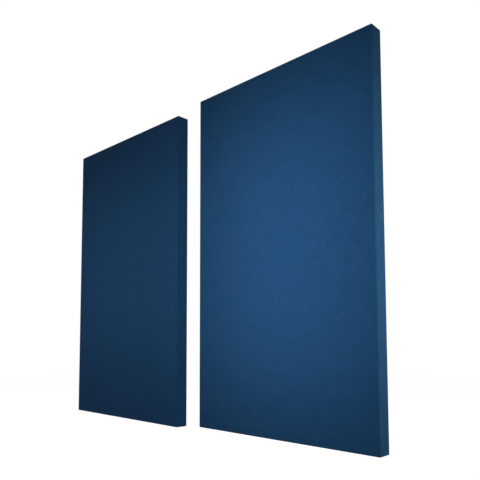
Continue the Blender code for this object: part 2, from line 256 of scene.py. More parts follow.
def set_surface(material, shader, tint, hexes, rough=None, roughness=(), relief=None, bump=(),
                rough_top=1.0):
    """Lets patterns drive the colour, and the roughness and relief where these are given."""
    connect = material.node_tree.links.new
    mixed = add_node(material, "Mix",
                     {"data_type": "RGBA", "#6": colour(hexes[0]), "#7": colour(hexes[1])},
                     _0=tint)
    connect(mixed.outputs[2], shader.inputs["Base Color"])
    if rough:
        spread = add_node(material, "MapRange", {"From Max": rough_top, "To Min": roughness[0],
                                                 "To Max": roughness[1]}, Value=rough)
        connect(spread.outputs[0], shader.inputs["Roughness"])
    if relief:
        raised = add_node(material, "Bump", {"Strength": bump[0], "Distance": bump[1]},
                          Height=relief)
        connect(raised.outputs[0], shader.inputs["Normal"])


low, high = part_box("left_panel_fabric_cover")
print("threads drawn across a panel:", round((high.x - low.x) / THREAD))

# %% [markdown]
# The weave itself is two sine waves, multiplied. A wave texture would do for one direction only.
# The nodes read the cloth's own UV map, which is laid out in metres on the flat cloth, so the
# threads turn round every edge with it. Fine fibres that stand off the yarn catch light at a
# glance, which is what sheen is for. Specular gloss is off: on cloth this rough it would only lay
# a grey haze over the blue.

# %% Cloth material
def cloth_finish(name, hexes, thread, slub_width, slub_length, bump, **shader_values):
    """A fine regular weave, with slubs in both thread directions and a soft mottle."""
    material, shader = new_material(name, **shader_values)
    where = add_node(material, "UVMap")
    warp, weft = [streaks(material, where, size, Detail=3.0, Roughness=0.6)
                  for size in ((slub_width, slub_length, 1), (slub_length, slub_width, 1))]
    yarn = add_node(material, "Math", {"operation": "ADD"}, _0=warp, _1=weft)
    cloud = add_node(material, "TexNoise", {"Scale": 1 / MOTTLE, "Detail": 2.0}, Vector=where)
    tone = add_node(material, "Math", {"operation": "MULTIPLY_ADD", "#1": MOTTLE_SHARE},
                    _0=cloud, _2=yarn)
    apart = add_node(material, "SeparateXYZ", Vector=where)
    waves = []
    for axis in (0, 1):
        turns = add_node(material, "Math", {"operation": "MULTIPLY", "#1": math.pi / thread},
                         _0=apart.outputs[axis])
        waves.append(add_node(material, "Math", {"operation": "SINE"}, _0=turns))
    weave = add_node(material, "Math", {"operation": "MULTIPLY"}, _0=waves[0], _1=waves[1])
    crossed = add_node(material, "Math", {"operation": "MULTIPLY_ADD", "#1": WEAVE_SHARE},
                       _0=weave, _2=tone)
    middle = 1 + MOTTLE_SHARE / 2
    blend = add_node(material, "MapRange", {"From Min": middle - YARN_RANGE / 2,
                                            "From Max": middle + YARN_RANGE / 2},
                     Value=crossed)
    relief = add_node(material, "Math", {"operation": "MULTIPLY_ADD", "#1": SLUB_RELIEF},
                      _0=yarn, _2=weave)
    set_surface(material, shader, blend, hexes, relief=relief, bump=(bump, THREAD_HEIGHT))
    return material


blue_cloth = cloth_finish(
    "woven_polyester_blue", ("194267", "27527E"), THREAD, SLUB_WIDTH, SLUB_LENGTH, 0.5,
    Roughness=0.60, Specular_IOR_Level=0.0, Sheen_Weight=0.12, Sheen_Roughness=0.5,
    Sheen_Tint=colour("B9CBE4"),
)
print("cloth thread spacing in mm:", THREAD / MM)

# %% [markdown]
# How is the cloth held? It goes round the frame's edges, lies on the back as a hem 45 mm wide, and
# is stapled into the middle of the timber about every 70 mm, except where a Z-clip or a bumper
# already holds it. So the staples' places come first: the hem lies flat at each staple and lifts
# a little between two of them, and both the hem and the staples read the same list.

# %% Where the staples go
HEM_WIDTH = 45 * MM
STAPLE_PITCH = 70 * MM
STAPLE_INSET = 13.8 * MM
STAPLE_WANDER = 4 * MM
PUCKER = (0.5 * MM, 1.6 * MM)
CLIP_REACH = 42 * MM
BUMPER_REACH = 20 * MM
HANDS = ("left", "right")
SIDES = {"top": (0, 1), "bottom": (0, -1), "left": (2, -1), "right": (2, 1)}


def middle_of(name):
    low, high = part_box(name)
    return (low + high) / 2


def held_places(panel, side):
    """What else holds the hem on one side: how far along it is, and how far it reaches."""
    centre = middle_of(f"{panel}_fabric_cover")
    axis, end = SIDES[side]
    held = []
    if side == "top":
        clips = [middle_of(f"{panel}_{hand}_clip") for hand in HANDS]
        held = [(clip.x - centre.x, CLIP_REACH) for clip in clips]
    bumpers = [middle_of(f"{panel}_{hand}_bumper") - centre for hand in HANDS]
    return held + [(b[axis], BUMPER_REACH) for b in bumpers if b[2 - axis] * end > 0]


def hem_fixings(panel):
    """For each side of the hem, the staples' places along it and the gaps that may pucker."""
    rng = random.Random(11 + PANELS.index(panel))
    low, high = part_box(f"{panel}_fabric_cover")
    fixings = {}
    for side, (axis, _) in SIDES.items():
        taken = held_places(panel, side)
        length = (high - low)[axis]
        count = round(length / STAPLE_PITCH)
        places = []
        for i in range(count):
            wander = rng.uniform(-STAPLE_WANDER, STAPLE_WANDER)
            along = ((i + 0.5) / count - 0.5) * length + wander
            if all(abs(along - spot) > reach for spot, reach in taken):
                places.append(along)
        gaps = []
        for start, stop in zip(places, places[1:]):
            held = any(start < spot < stop for spot, _ in taken)
            gaps.append((start, stop, 0.0 if held else rng.uniform(*PUCKER)))
        fixings[side] = (places, gaps)
    return fixings


fixings = {panel: hem_fixings(panel) for panel in PANELS}
print("staples a side:", {side: len(row[0]) for side, row in fixings["left_panel"].items()})

# %% [markdown]
# Most of modelling by hand is: go into edit mode, pick some faces or edges, run a tool on them.
# These helpers do just that. A tool acts on all that is selected, so each helper deselects first,
# and it picks by a test on place or direction, because index numbers change with every edit. The
# cover could be built from loose vertices, but it is a box with soft edges, so it starts as one.

# %% A block to start from
SELECT_MODES = {"faces": "FACE", "edges": "EDGE"}


def activate(piece):
    bpy.ops.object.select_all(action="DESELECT")
    piece.select_set(True)
    bpy.context.view_layer.objects.active = piece


@contextlib.contextmanager
def editing(piece):
    """Edit mode on one piece, with nothing selected."""
    activate(piece)
    bpy.ops.object.mode_set(mode="EDIT")
    bpy.ops.mesh.select_all(action="DESELECT")
    yield
    bpy.ops.object.mode_set(mode="OBJECT")


def pick(piece, wanted, kind="faces"):
    """In edit mode, selects only the faces or edges that a test wants."""
    bpy.ops.mesh.select_mode(type=SELECT_MODES[kind])
    bpy.ops.mesh.select_all(action="DESELECT")
    mesh = bmesh.from_edit_mesh(piece.data)
    for item in getattr(mesh, kind):
        if wanted(item):
            item.select_set(True)
    mesh.select_flush_mode()
    bmesh.update_edit_mesh(piece.data)


def add_block(name, low, high):
    """A block between two corners, with its place in its mesh."""
    middle = (Vector(low) + Vector(high)) / 2
    bpy.ops.object.select_all(action="DESELECT")
    bpy.ops.mesh.primitive_cube_add(size=1, location=middle, scale=Vector(high) - Vector(low))
    block = bpy.context.object
    block.name = name
    bpy.ops.object.transform_apply(location=True, rotation=True, scale=True)
    return block


low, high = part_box("left_panel_fabric_cover")
blank = add_block("cover_blank", low, high)
print("block in mm:", [round(side / MM, 1) for side in blank.dimensions])

# %% [markdown]
# Cloth over a sanded timber edge turns with a radius of a few millimetres. So all edges get a
# bevel, and get it first, while the piece is a plain box and they can all be picked at once. Then
# the large face behind is inset by the hem's width and deleted, which leaves the open back.

# %% Soft edges and an open back
COVER_ROUND = 2.8 * MM

with editing(blank):
    pick(blank, lambda edge: True, "edges")
    bpy.ops.mesh.bevel(offset=COVER_ROUND, segments=4, affect="EDGES")
    pick(blank, lambda face: face.normal.y > 0.999 and face.calc_area() > 0.1)
    bpy.ops.mesh.inset(thickness=HEM_WIDTH - COVER_ROUND, use_even_offset=True)
    bpy.ops.mesh.delete(type="FACE")
print("faces round the shell:", len(blank.data.polygons))

# %% [markdown]
# Before cloth can sag or pucker it needs vertices. Subdivide would split every face alike, also
# the tiny ones on the bevels. Bisecting cuts the whole piece into strips of one width instead, and
# the hem, which moves most, is cut twice as fine. At each corner the spare cloth is folded in, as
# on a parcel: a tuck with a crisp edge that starts at the front corner, widens over the top or
# bottom face and ends as a diagonal on the hem. Its edge is two cuts close together.

# %% Cuts where the cloth will move
CLOTH_GRID = 8 * MM
HEM_GRID = 4 * MM
TUCK_START = 0.6 * MM
TUCK_EDGE = 0.8 * MM


def cut_strips(piece, axis, start, end, pitch):
    """In edit mode, bisects the whole piece into strips about a pitch wide."""
    count = max(2, round((end - start) / pitch))
    normal = Vector()
    normal[axis] = 1.0
    for i in range(1, count):
        place = normal * (start + (end - start) * i / count)
        bpy.ops.mesh.select_all(action="SELECT")
        bpy.ops.mesh.bisect(plane_co=place, plane_no=normal)


def at_corner(face, edge_x, edge_z):
    """Whether a face lies where a corner's tuck can reach."""
    middle = face.calc_center_median()
    return abs(middle.x - edge_x) < 2 * HEM_WIDTH and abs(middle.z - edge_z) < HEM_WIDTH


def cut_tucks(cover, low, high):
    """Two cuts close together along the edge of each corner's tuck, on the ends and on the hem."""
    for side_x, edge_x in ((-1, low.x), (1, high.x)):
        for side_z, edge_z in ((-1, low.z), (1, high.z)):
            near = [edge_x, edge_z]
            for step in (TUCK_START, TUCK_START + TUCK_EDGE):
                pick(cover, lambda face: at_corner(face, *near) and face.normal.z * side_z > 0.3)
                bpy.ops.mesh.bisect(plane_co=(edge_x - side_x * (COVER_ROUND + step), 0, 0),
                                    plane_no=(1, 0, 0))
                pick(cover, lambda face: at_corner(face, *near) and face.normal.y > 0.99)
                bpy.ops.mesh.bisect(plane_co=(edge_x - side_x * step, 0, edge_z),
                                    plane_no=(side_x, 0, -side_z))


with editing(blank):
    cut_strips(blank, 0, low.x, high.x, CLOTH_GRID)
    cut_strips(blank, 2, low.z, high.z, CLOTH_GRID)
    cut_strips(blank, 1, low.y, high.y, CLOTH_GRID)
    pick(blank, lambda face: face.normal.y < 0.99)
    bpy.ops.mesh.hide(unselected=False)
    cut_strips(blank, 0, low.x, high.x, HEM_GRID)
    cut_strips(blank, 2, low.z, high.z, HEM_GRID)
    bpy.ops.mesh.reveal(select=False)
    cut_tucks(blank, low, high)
print("vertices that can move:", len(blank.data.vertices))

# %% [markdown]
# Both panels wear the same cover, so it is copied and not modelled again. Each copy gets a mesh of
# its own, because the two cloths will settle in their own ways. Later the same helper turns the
# copies of staples and screws. Joining puts a finished piece's place into its mesh.

# %% A cover for each panel
def copy_to(master, place, turn=0.0):
    """A copy with its own mesh, turned about the Y axis and moved to a place."""
    copy = master.copy()
    copy.data = master.data.copy()
    copy.matrix_world = Matrix.Translation(place) @ Matrix.Rotation(turn, 4, "Y")
    bpy.context.scene.collection.objects.link(copy)
    return copy


def join(name, pieces):
    """Joins copies into one piece, with its place in its mesh."""
    activate(pieces[0])
    for piece in pieces:
        piece.select_set(True)
    if len(pieces) > 1:
        bpy.ops.object.join()
    bpy.ops.object.transform_apply(location=True, rotation=True, scale=True)
    pieces[0].name = name
    return pieces[0]


covers = {}
for panel in PANELS:
    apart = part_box(f"{panel}_fabric_cover")[0] - low
    covers[panel] = join(f"{panel}_cover", [copy_to(blank, apart)])
bpy.data.objects.remove(blank)
print("covers:", [cover.name for cover in covers.values()])

# %% [markdown]
# A UV map can be more than a place for a picture. Unwrapping would give islands in an arbitrary
# scale. Here the map is the cloth before it was hung: each point's UV is its distance in metres
# from the middle of the flat cloth, measured round the edges. The second cover's map is shifted
# by a few metres, as if it was cut further down the roll, so that it has other slubs.

# %% Flat pattern
ROLL_SHIFT = 3.0


def lay_flat(cover, low, high, shift):
    """UVs in metres on the flat cloth."""
    centre = (low + high) / 2
    half = (high - low) / 2
    layer = cover.data.uv_layers[0] if cover.data.uv_layers else cover.data.uv_layers.new()
    layer.name = "flat_cloth"
    for face in cover.data.polygons:
        behind = face.normal.y > 0.01
        to_side = half.x - abs(face.center.x - centre.x)
        to_end = half.z - abs(face.center.z - centre.z)
        sideways = to_side < to_end
        for loop in face.loop_indices:
            place = cover.data.vertices[cover.data.loops[loop].vertex_index].co - centre
            flat = [place.x, place.z]
            wrapped = 0 if sideways else 1
            reach = half.x if sideways else half.z
            out = abs(flat[wrapped])
            if behind:
                out = 2 * reach + 2 * half.y - out - (half.y - place.y)
            else:
                out += place.y + half.y
            flat[wrapped] = math.copysign(out, flat[wrapped])
            layer.data[loop].uv = (flat[0] + shift, flat[1])


for panel, cover in covers.items():
    lay_flat(cover, *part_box(f"{panel}_fabric_cover"), ROLL_SHIFT * PANELS.index(panel))
    across = [loop.uv.x for loop in cover.data.uv_layers[0].data]
    print(cover.name, "is", round((max(across) - min(across)) / MM), "mm wide when flat")

# %% [markdown]
# Stretched cloth is never quite flat. The board under it is a fraction proud in the middle, the
# hem lifts between its staples, and the staples press it in. A cloth simulation could do this, but
# such small forms come out more even from a rule. So each is a height that depends on where a
# point is, and can be checked against a real cover with a ruler.

# %% Heights of the cloth
TOUCH = 0.01 * MM
CROWN = 0.5 * MM
SLACK = 0.15 * MM
FRONT_WAVE = 90 * MM
FRONT_FADE = 20 * MM
FLANK_WAVE = 70 * MM
FLANK_FADE = 10 * MM
TUCK_HEIGHT = 0.9 * MM
TUCK_WIDTH = 45 * MM
TUCK_RISE = 12 * MM
PINCH = 0.3 * MM
PINCH_ALONG = 7 * MM
PINCH_ACROSS = 5 * MM
SMALL_WAVES = 0.2
SEED_STEP = 7.3


def ease(t):
    """0 below 0, 1 above 1, and a soft step between."""
    t = min(max(t, 0.0), 1.0)
    return t * t * (3 - 2 * t)


def ripple(x, z, scale, seed):
    """Smooth noise between about -1 and 1, for a wave of about the given length."""
    return noise.noise(Vector((x / scale, z / scale, seed * SEED_STEP)))


def pucker(along, gaps):
    """How far the hem lifts between two staples: one wave, and three smaller ones on it."""
    for start, stop, lift in gaps:
        if start < along < stop:
            turn = math.pi * (along - start) / (stop - start)
            wave = (1 - SMALL_WAVES) * math.sin(turn) ** 2
            return lift * (wave + SMALL_WAVES * math.sin(3 * turn) ** 2)
    return 0.0


def pinch(along, inset, places):
    """How far the staples press the hem in, close round each of them."""
    apart = min((abs(along - spot) for spot in places), default=1.0)
    return PINCH * math.exp(-((apart / PINCH_ALONG) ** 2)
                            - ((inset - STAPLE_INSET) / PINCH_ACROSS) ** 2)


def tuck_height(to_side, to_end, deep):
    """How far the folded corner stands out, from the distances to the side, end and front."""
    tuck = to_side - max(to_end, COVER_ROUND)
    step = min(max((tuck - TUCK_START) / TUCK_EDGE, 0.0), 1.0)
    rise = ease((deep - COVER_ROUND) / TUCK_RISE)
    return TUCK_HEIGHT * step * (1 - ease(tuck / TUCK_WIDTH)) * rise


def front_height(place, half, seed):
    """The crown over the board, with slack waves that die out towards the edges."""
    inset = min(half.x - abs(place.x), half.z - abs(place.z))
    rise = (1 - (place.x / half.x) ** 2) * (1 - (place.z / half.z) ** 2)
    slack = SLACK * ripple(place.x, place.z, FRONT_WAVE, seed)
    return CROWN * rise + slack * ease(inset / FRONT_FADE)


def flank_height(place, half, seed):
    """Slack waves along the narrow faces, which die out towards their edges."""
    deep = place.y + half.y
    flank = ease(deep / FLANK_FADE) * ease((2 * half.y - deep) / FLANK_FADE)
    return SLACK * ripple(place.x + place.z, deep, FLANK_WAVE, seed) * flank


print("tuck height on the hem in mm:", round(tuck_height(5 * MM, COVER_ROUND, 1.0) / MM, 2))

# %% [markdown]
# Now the heights are added to the meshes. Every vertex moves along the surface's own normal, so
# the same rule works on the front, on the narrow faces and on the hem. The hem's cut edge also
# wanders in its own plane, as scissors do. All moves are worked out on the shape as it was
# modelled, and only then made.

# %% Settle the cloth
EDGE_WANDER = 1.5 * MM
EDGE_WAVE = 40 * MM
HEM_HELD = 0.25
BUMPER_SEAT = 9 * MM
BUMPER_FADE = 10 * MM


def hem_move(place, half, panel, seed):
    """The hem's lift, and how far its cut edge slides in its plane."""
    to_side = half.x - abs(place.x)
    to_end = half.z - abs(place.z)
    sideways = to_side < to_end
    axis = 2 if sideways else 0
    sign = math.copysign(1, place.x if sideways else place.z)
    side = next(s for s, (a, e) in SIDES.items() if a == axis and e == sign)
    places, gaps = fixings[panel][side]
    inset = max(min(to_side, to_end), 0.0)
    lift = pucker(place[axis], gaps) * ease((inset / HEM_WIDTH - HEM_HELD) / (1 - HEM_HELD))
    lift -= pinch(place[axis], inset, places)
    slide = Vector()
    wander = EDGE_WANDER * ripple(place[axis], seed, EDGE_WAVE, seed)
    slide[2 - axis] = -sign * wander * (inset / HEM_WIDTH) ** 3
    return lift, slide


def vertex_move(vert, centre, half, panel, bumpers):
    """How one vertex of a cover moves."""
    seed = PANELS.index(panel) + 1
    place = vert.co - centre
    to_side = half.x - abs(place.x)
    to_end = half.z - abs(place.z)
    deep = place.y + half.y
    slide = Vector()
    on_hem = half.y - place.y < TOUCH
    if deep < TOUCH:
        lift = front_height(place, half, seed)
    elif on_hem:
        lift, slide = hem_move(place, half, panel, seed)
    else:
        lift = flank_height(place, half, seed)
    if to_end < COVER_ROUND or on_hem:
        lift += tuck_height(to_side, to_end, deep)
    if on_hem:
        for bumper in bumpers:
            apart = math.hypot(place.x - bumper.x, place.z - bumper.z)
            lift *= ease((apart - BUMPER_SEAT) / BUMPER_FADE)
    return vert.normal * lift + slide


def settle(cover, panel):
    """Moves all vertices of a cover, and returns the longest move."""
    low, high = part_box(f"{panel}_fabric_cover")
    centre = (low + high) / 2
    half = (high - low) / 2
    bumpers = [middle_of(f"{panel}_{hand}_bumper") - centre for hand in HANDS]
    mesh = bmesh.new()
    mesh.from_mesh(cover.data)
    mesh.normal_update()
    moves = [(vert, vertex_move(vert, centre, half, panel, bumpers)) for vert in mesh.verts]
    for vert, move in moves:
        vert.co += move
    mesh.to_mesh(cover.data)
    mesh.free()
    return max(move.length for vert, move in moves)


for panel, cover in covers.items():
    print(cover.name, "moved by up to", round(settle(cover, panel) / MM, 1), "mm")

# %% [markdown]
# The sheet gets its thickness last, with Solidify, inwards from the surface that was settled.

# %% Covers
CLOTH_THICKNESS = 0.9 * MM


def finish_with(piece, kind, **settings):
    """Adds a modifier with its settings and applies it."""
    modifier = piece.modifiers.new(kind.lower(), kind)
    for name, value in settings.items():
        setattr(modifier, name, value)
    activate(piece)
    bpy.ops.object.modifier_apply(modifier=modifier.name)


def smooth(piece, angle=35):
    activate(piece)
    bpy.ops.object.shade_smooth_by_angle(angle=math.radians(angle))


def dress(piece, panel, slot, material, *replaced):
    """Gives a piece its material, ties it to its panel, and hides the nodes that it stands for."""
    piece.data.materials.clear()
    piece.data.materials.append(material)
    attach(piece, panel)
    if replaced:
        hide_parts(*replaced)
    print(piece.name, "has", len(piece.data.polygons), "faces")


for panel, cover in covers.items():
    finish_with(cover, "SOLIDIFY", thickness=CLOTH_THICKNESS, offset=-1.0, use_even_offset=True)
    smooth(cover)
    dress(cover, panel, "blue_acoustic_cloth", blue_cloth, f"{panel}_fabric_cover")
    low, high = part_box(f"{panel}_fabric_cover")

# %% [markdown]
# A thin black scrim closes the back and keeps the wool's fibres in. It is not woven: its fibres
# are laid at random and pressed together at a regular grid of points. The cloth's recipe draws
# that too, with a coarser grid and shorter, wider streaks, so no second recipe is needed. It is
# matt and a little dusty, because black that returns no light would look like a hole.

# %% Scrim material
SCRIM_PITCH = 1.2 * MM

black_scrim = cloth_finish(
    "spunbond_black_scrim", ("101113", "2A2C30"), SCRIM_PITCH, 2.2 * MM, 9 * MM, 0.35,
    Roughness=0.9, IOR=1.46, Sheen_Weight=0.10, Sheen_Roughness=0.5, Sheen_Tint=colour("C8CCD2"),
)
print("scrim points in mm:", SCRIM_PITCH / MM)

# %% [markdown]
# The scrim lies under the hem, flat on the timber, the gussets and the brace, and sags a little
# into the hollows between them. A flat plane would be enough for a plain black back. The sag is
# worth modelling, because the construction then shows through as soft shapes.

# %% Back cloth
SCRIM_SAG = 1.5 * MM
SCRIM_THICKNESS = 0.45 * MM
SCRIM_GRID = 10 * MM
SAG_WAVE = 120 * MM
CREASE_WAVE = 35 * MM
WAVE_SHARE = 0.25
CREASE_SHARE = 0.12
HOLLOW_FADE = 50 * MM


def hollow_depth(place, window, brace_half, gusset_reach):
    """0 over what carries the scrim, growing to 1 well inside a hollow."""
    over_frame = min(window.x - abs(place.x), window.z - abs(place.z))
    over_brace = abs(place.z) - brace_half
    over_gusset = (window.x - abs(place.x) + window.z - abs(place.z) - gusset_reach) / math.sqrt(2)
    return ease(min(over_frame, over_brace, over_gusset) / HOLLOW_FADE)


def sag(scrim, panel, centre):
    """Lets the scrim down into the hollows, with waves and small creases."""
    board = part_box(f"{panel}_core_board")
    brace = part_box(f"{panel}_cross_brace")
    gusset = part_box(f"{panel}_top_right_gusset")
    window = (board[1] - board[0]) / 2
    reach = (board[1].x - gusset[0].x) - (gusset[1].z - board[1].z)
    seed = PANELS.index(panel) + 5
    for vert in scrim.data.vertices:
        place = vert.co - centre
        depth = hollow_depth(place, window, (brace[1].z - brace[0].z) / 2, reach)
        pull = 1 - WAVE_SHARE + WAVE_SHARE * ripple(place.x, place.z, SAG_WAVE, seed)
        crease = CREASE_SHARE * ripple(place.x, place.z, CREASE_WAVE, seed)
        vert.co.y -= SCRIM_SAG * depth * (pull + crease)


def make_back_cloth(panel):
    low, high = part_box(f"{panel}_back_cloth")
    centre = (low + high) / 2
    bpy.ops.object.select_all(action="DESELECT")
    bpy.ops.mesh.primitive_plane_add(size=1, location=(centre.x, high.y, centre.z),
                                     rotation=(-math.pi / 2, 0, 0))
    scrim = bpy.context.object
    scrim.name = f"{panel}_scrim"
    scrim.scale = (high.x - low.x, high.z - low.z, 1)
    bpy.ops.object.transform_apply(location=True, rotation=True, scale=True)
    with editing(scrim):
        cut_strips(scrim, 0, low.x, high.x, SCRIM_GRID)
        cut_strips(scrim, 2, low.z, high.z, SCRIM_GRID)
    layer = scrim.data.uv_layers[0]
    layer.name = "flat_cloth"
    for loop in scrim.data.loops:
        spot = scrim.data.vertices[loop.vertex_index].co
        layer.data[loop.index].uv = (spot.x, spot.z)
    sag(scrim, panel, centre)
    finish_with(scrim, "SOLIDIFY", thickness=SCRIM_THICKNESS, offset=-1.0)
    smooth(scrim)
    dress(scrim, panel, "black_scrim", black_scrim, f"{panel}_back_cloth")


for panel in PANELS:
    make_back_cloth(panel)

# %% [markdown]
# Small bright metal parts are what makes a back look real. The staples and screws are zinc-plated
# steel: a thin, slightly bluish and uneven plating with a soft shine. One grey for all of it would
# look like paint. A metal's colour is its reflection, so the base colour is pale and the
# roughness, which changes with the plating's bloom, does the talking.

# %% Zinc plating
# Real bloom is finer than this, but it wouldn't show on heads of a few millimetres.
ZINC_BLOOM = 3 * MM


def zinc_plating():
    """Bluish and warm greys in soft patches, the warm ones duller."""
    material, shader = new_material("zinc_plated_steel", Metallic=1.0)
    where = add_node(material, "TexCoord").outputs["Object"]
    bloom = add_node(material, "TexNoise", {"Scale": 1 / ZINC_BLOOM, "Detail": 4.0}, Vector=where)
    set_surface(material, shader, bloom, ("8E959E", "B4B4AE"), bloom, (0.22, 0.42))
    return material


zinc = zinc_plating()
print("zinc plating bloom in mm:", ZINC_BLOOM / MM)

# %% [markdown]
# A staple is a flat wire with two legs, bent from one piece. It could be a curve with a bevel, but
# a curve's wire is round. So it is a bar, cut near both ends, with the end strips pulled down into
# legs by extrude, and with its long edges broken a little.

# %% One staple
STAPLE_CROWN = 10.7 * MM
STAPLE_WIRE = (0.55 * MM, 1.0 * MM)
STAPLE_LEG = 2.5 * MM
STAPLE_EDGE = 0.12 * MM


def staple_master():
    """A staple with the underside of its crown at 0 and its legs down the Y axis."""
    thick, wide = STAPLE_WIRE
    reach = STAPLE_CROWN / 2
    staple = add_block("staple", (-reach, 0, -wide / 2), (reach, thick, wide / 2))
    shoulder = STAPLE_CROWN / 2 - thick

    def on_leg(face):
        return face.normal.y < -0.9 and abs(face.calc_center_median().x) > shoulder

    with editing(staple):
        for side in (-1, 1):
            bpy.ops.mesh.select_all(action="SELECT")
            bpy.ops.mesh.bisect(plane_co=(side * shoulder, 0, 0), plane_no=(1, 0, 0))
        pick(staple, on_leg)
        bpy.ops.mesh.extrude_region_move(TRANSFORM_OT_translate={"value": (0, -STAPLE_LEG, 0)})
        pick(staple, lambda edge: edge.calc_face_angle(0) > 1.0, "edges")
        bpy.ops.mesh.bevel(offset=STAPLE_EDGE, segments=1, affect="EDGES")
    smooth(staple, 50)
    return staple


staple = staple_master()
print("faces of one staple:", len(staple.data.polygons))

# %% [markdown]
# Then the staple is copied along the hem, to the places that the hem was shaped for. An Array
# would space them like a machine. Each copy is turned by a few degrees instead, because a hand
# with a staple gun is never quite straight, and it stands on the cloth where a tuck is under it.
# One more staple holds the tuck at each top corner.

# %% Hem staples
STAPLE_BITE = 0.12 * MM
STAPLE_TURN = 6
CORNER_STAPLE = (24 * MM, 18 * MM)


def make_staples(panel):
    rng = random.Random(31 + PANELS.index(panel))
    low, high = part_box(f"{panel}_fabric_cover")
    centre = (low + high) / 2
    half = (high - low) / 2
    copies = []
    for side, (axis, end) in SIDES.items():
        for along in fixings[panel][side][0]:
            place = Vector((centre.x, high.y - STAPLE_BITE, centre.z))
            place[axis] += along
            place[2 - axis] += end * (half[2 - axis] - STAPLE_INSET)
            to_side = half.x - abs(place.x - centre.x)
            to_end = half.z - abs(place.z - centre.z)
            place.y += tuck_height(to_side, to_end, 1)
            turn = rng.uniform(-STAPLE_TURN, STAPLE_TURN) + (90 if axis == 2 else 0)
            copies.append(copy_to(staple, place, math.radians(turn)))
    for hand in (-1, 1):
        spot = Vector((half.x - CORNER_STAPLE[0], 0, half.z - CORNER_STAPLE[1]))
        rise = tuck_height(*CORNER_STAPLE, 1) - STAPLE_BITE
        place = Vector((centre.x + hand * spot.x, high.y + rise, centre.z + spot.z))
        copies.append(copy_to(staple, place, math.radians(-45 * hand)))
    dress(join(f"{panel}_staples", copies), panel, "zinc_plated_steel", zinc)


for panel in PANELS:
    make_staples(panel)
bpy.data.objects.remove(staple)

# %% [markdown]
# The screws that hold the Z-clips are pan heads with a cross recess. A head is a short cylinder
# with its outer edge rounded by a bevel, and the shank is pulled out of its underside by inset and
# extrude. A recess can be modelled face by face, but a cutter makes it as the factory's punch
# does: two crossed tapering blades, taken away with a boolean.

# %% One clip screw
HEAD_HEIGHT = 2.2 * MM
HEAD_ROUND = 0.9 * MM
SHANK_RADIUS = 1.75 * MM
TIP_LENGTH = 4 * MM
TIP_SHARE = 0.06
RECESS_WIDTH = 0.9 * MM
RECESS_REACH = 1.9 * MM
RECESS_DEPTH = 1.4 * MM
BLADE_ABOVE = 0.5 * MM
BLADE_TAPER = (0.35, 1, 0.6)


def add_round(name, radius, start, end, steps=32):
    """A capped cylinder on the Y axis, from start to end."""
    bpy.ops.object.select_all(action="DESELECT")
    bpy.ops.mesh.primitive_cylinder_add(vertices=steps, radius=radius, depth=end - start,
                                        location=(0, (start + end) / 2, 0),
                                        rotation=(-math.pi / 2, 0, 0))
    piece = bpy.context.object
    piece.name = name
    bpy.ops.object.transform_apply(location=True, rotation=True, scale=True)
    return piece


def cross_blade(turn):
    """One blade of the cross: a block that narrows towards its bottom."""
    blade = add_block("blade", (-RECESS_REACH, -RECESS_DEPTH, -RECESS_WIDTH / 2),
                      (RECESS_REACH, BLADE_ABOVE, RECESS_WIDTH / 2))
    with editing(blade):
        pick(blade, lambda face: face.normal.y < -0.9)
        bpy.ops.transform.resize(value=BLADE_TAPER)
    blade.matrix_world = Matrix.Rotation(turn, 4, "Y")
    return blade


def screw_master(radius, length):
    """A pan-headed screw on the Y axis. Its head's top is at 0 and its tip is at -length."""
    head = add_round("clip_screw", radius, -HEAD_HEIGHT, 0)
    with editing(head):
        pick(head, lambda edge: all(v.co.y > -TOUCH for v in edge.verts), "edges")
        bpy.ops.mesh.bevel(offset=HEAD_ROUND, segments=4, affect="EDGES")
        pick(head, lambda face: face.normal.y < -0.9)
        bpy.ops.mesh.inset(thickness=radius - SHANK_RADIUS)
        for step in (HEAD_HEIGHT + TIP_LENGTH - length, -TIP_LENGTH):
            bpy.ops.mesh.extrude_region_move(TRANSFORM_OT_translate={"value": (0, step, 0)})
        bpy.ops.transform.resize(value=(TIP_SHARE, 1, TIP_SHARE))
    for turn in (0, math.pi / 2):
        blade = cross_blade(turn)
        finish_with(head, "BOOLEAN", object=blade, operation="DIFFERENCE", solver="EXACT")
        bpy.data.objects.remove(blade)
    smooth(head, 30)
    return head


low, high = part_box("left_panel_left_clip_screw_1")
screw = screw_master((high.x - low.x) / 2, high.y - low.y)
print("screw length in mm:", round((high.y - low.y) / MM, 1))

# %% [markdown]
# Four screws hold the two clips of a panel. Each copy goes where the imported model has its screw,
# with the tops of their heads level, and gets its own turn about its axis. Screws that all point
# the same way give a drawn model away.

# %% Clip screws
def make_clip_screws(panel):
    rng = random.Random(51 + PANELS.index(panel))
    names = [f"{panel}_{hand}_clip_screw_{i}" for hand in HANDS for i in (1, 2)]
    copies = []
    for name in names:
        low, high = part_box(name)
        place = ((low.x + high.x) / 2, high.y, (low.z + high.z) / 2)
        copies.append(copy_to(screw, place, rng.uniform(0, math.pi / 2)))
    screws = join(f"{panel}_clip_screws", copies)
    dress(screws, panel, "zinc_plated_steel", zinc, *names)


for panel in PANELS:
    make_clip_screws(panel)
bpy.data.objects.remove(screw)

# %% [markdown]
# Rubber that comes out of a mould is dark and matt, with a bloom of dust on it that makes some
# spots paler and rougher. Pure black would hide the foot's shape, so both colours of the mix are
# a little above it, and one noise drives colour, roughness and grain together.

# %% Moulded rubber
RUBBER_DUST = 2 * MM


def black_rubber():
    """Nearly black, with paler and rougher dust."""
    material, shader = new_material("moulded_rubber_black", IOR=1.52)
    where = add_node(material, "TexCoord").outputs["Object"]
    dust = add_node(material, "TexNoise", {"Scale": 1 / RUBBER_DUST, "Detail": 5.0}, Vector=where)
    set_surface(material, shader, dust, ("161617", "2B2B2C"), dust, (0.45, 0.75),
                dust, (0.3, 0.05 * MM))
    return material


